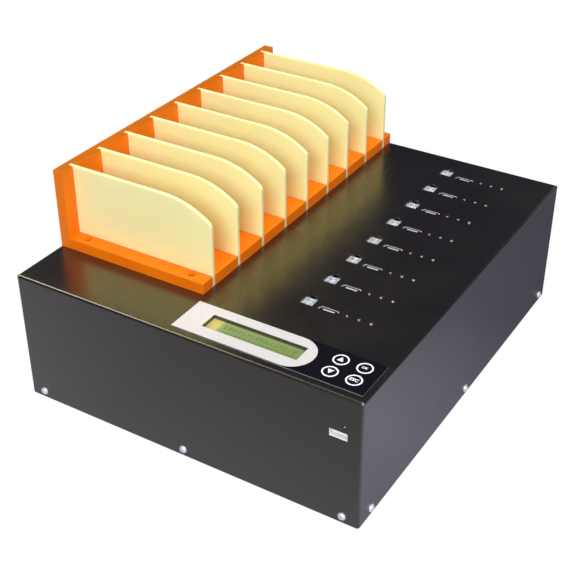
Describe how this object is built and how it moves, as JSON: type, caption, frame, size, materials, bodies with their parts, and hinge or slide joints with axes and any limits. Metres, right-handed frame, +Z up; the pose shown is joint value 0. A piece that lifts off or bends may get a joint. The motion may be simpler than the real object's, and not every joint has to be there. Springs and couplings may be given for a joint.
{
  "type": "drive duplicator",
  "caption": "Box-shaped drive duplicator with an open drive rack on its lid, rows of power and data ports with lamps, a display with four keys, and a front USB socket.",
  "frame": {"origin": "on the standing surface, under the middle of the box", "axes": "+X to the right, +Y to the rear, +Z up, seen from the side with the key panel"},
  "size_m": [0.2838, 0.3369, 0.1705],
  "materials": {
    "case_paint": "satin black powder coat",
    "foot_rubber": "matt rubber",
    "screw_nickel": "bright nickel",
    "rack_orange": "satin orange plastic sheet",
    "divider_cream": "satin cream plastic sheet",
    "film_print": "printed film",
    "key_black": "satin key with a pale printed ring",
    "board_green": "solder mask",
    "bezel_black": "blackened steel",
    "lcd_green": "yellow-green display glass",
    "header_white": "natural nylon",
    "contact_tin": "tinned contacts",
    "shell_steel": "plated sheet",
    "tongue_black": "contact carrier",
    "tongue_white": "contact carrier",
    "lamp_red": "tinted lamp",
    "lamp_green": "clear lamp",
    "lamp_yellow": "tinted lamp",
    "fan_black": "moulded plastic",
    "guard_chrome": "bright wire",
    "inlet_black": "moulded plastic",
    "rocker_black": "polished plastic",
    "supply_steel": "bare sheet",
    "post_brass": "bare brass"
  },
  "bodies": {
    "chassis": {"top_cover": "case_paint", "bottom_tray": "case_paint", "rubber_feet": "foot_rubber", "cover_screws": "screw_nickel", "rack_fasteners": "screw_nickel", "fan_screws": "screw_nickel", "rack_wall": "rack_orange", "rack_base": "rack_orange", "divider_1": "divider_cream", "divider_2": "divider_cream", "divider_3": "divider_cream", "divider_4": "divider_cream", "divider_5": "divider_cream", "divider_6": "divider_cream", "divider_7": "divider_cream", "divider_8": "divider_cream", "divider_9": "divider_cream", "panel_overlay": "film_print", "panel_board": "board_green", "port_board": "board_green", "usb_board": "board_green", "main_board": "board_green", "lcd_bezel": "bezel_black", "key_switches": "bezel_black", "lcd_cell": "lcd_green", "power_header_1": "header_white", "power_header_2": "header_white", "power_header_3": "header_white", "power_header_4": "header_white", "power_header_5": "header_white", "power_header_6": "header_white", "power_header_7": "header_white", "power_header_8": "header_white", "header_pins": "contact_tin", "inlet_pins": "contact_tin", "data_shell_1": "shell_steel", "data_shell_2": "shell_steel", "data_shell_3": "shell_steel", "data_shell_4": "shell_steel", "data_shell_5": "shell_steel", "data_shell_6": "shell_steel", "data_shell_7": "shell_steel", "data_shell_8": "shell_steel", "usb_shell": "shell_steel", "data_tongues": "tongue_black", "usb_tongue": "tongue_white", "red_leds": "lamp_red", "green_leds": "lamp_green", "yellow_leds": "lamp_yellow", "fan_frame": "fan_black", "fan_guard": "guard_chrome", "inlet_housing": "inlet_black", "power_supply": "supply_steel", "board_spacers": "post_brass"},
    "up_key": {"up_key": "key_black"},
    "down_key": {"down_key": "key_black"},
    "ok_key": {"ok_key": "key_black"},
    "back_key": {"back_key": "key_black"},
    "rocker": {"power_rocker": "rocker_black"},
    "rotor": {"fan_rotor": "fan_black"}
  },
  "joints": [
    {"name": "up_key_press", "type": "slide", "parent": "chassis", "child": "up_key", "axis": [0, 0, -1], "range_m": [0, 0.0005], "stiffness_N_per_m": 1500},
    {"name": "down_key_press", "type": "slide", "parent": "chassis", "child": "down_key", "axis": [0, 0, -1], "range_m": [0, 0.0005], "stiffness_N_per_m": 1500},
    {"name": "ok_key_press", "type": "slide", "parent": "chassis", "child": "ok_key", "axis": [0, 0, -1], "range_m": [0, 0.0005], "stiffness_N_per_m": 1500},
    {"name": "back_key_press", "type": "slide", "parent": "chassis", "child": "back_key", "axis": [0, 0, -1], "range_m": [0, 0.0005], "stiffness_N_per_m": 1500},
    {"name": "rocker_tilt", "type": "hinge", "parent": "chassis", "child": "rocker", "pos_m": [0.088, 0.1648, 0.0704], "axis": [0, 0, 1], "range_deg": [0, 20]},
    {"name": "rotor_spin", "type": "hinge", "parent": "chassis", "child": "rotor", "pos_m": [-0.06, 0.1518, 0.06], "axis": [0, 1, 0], "continuous": true}
  ]
}
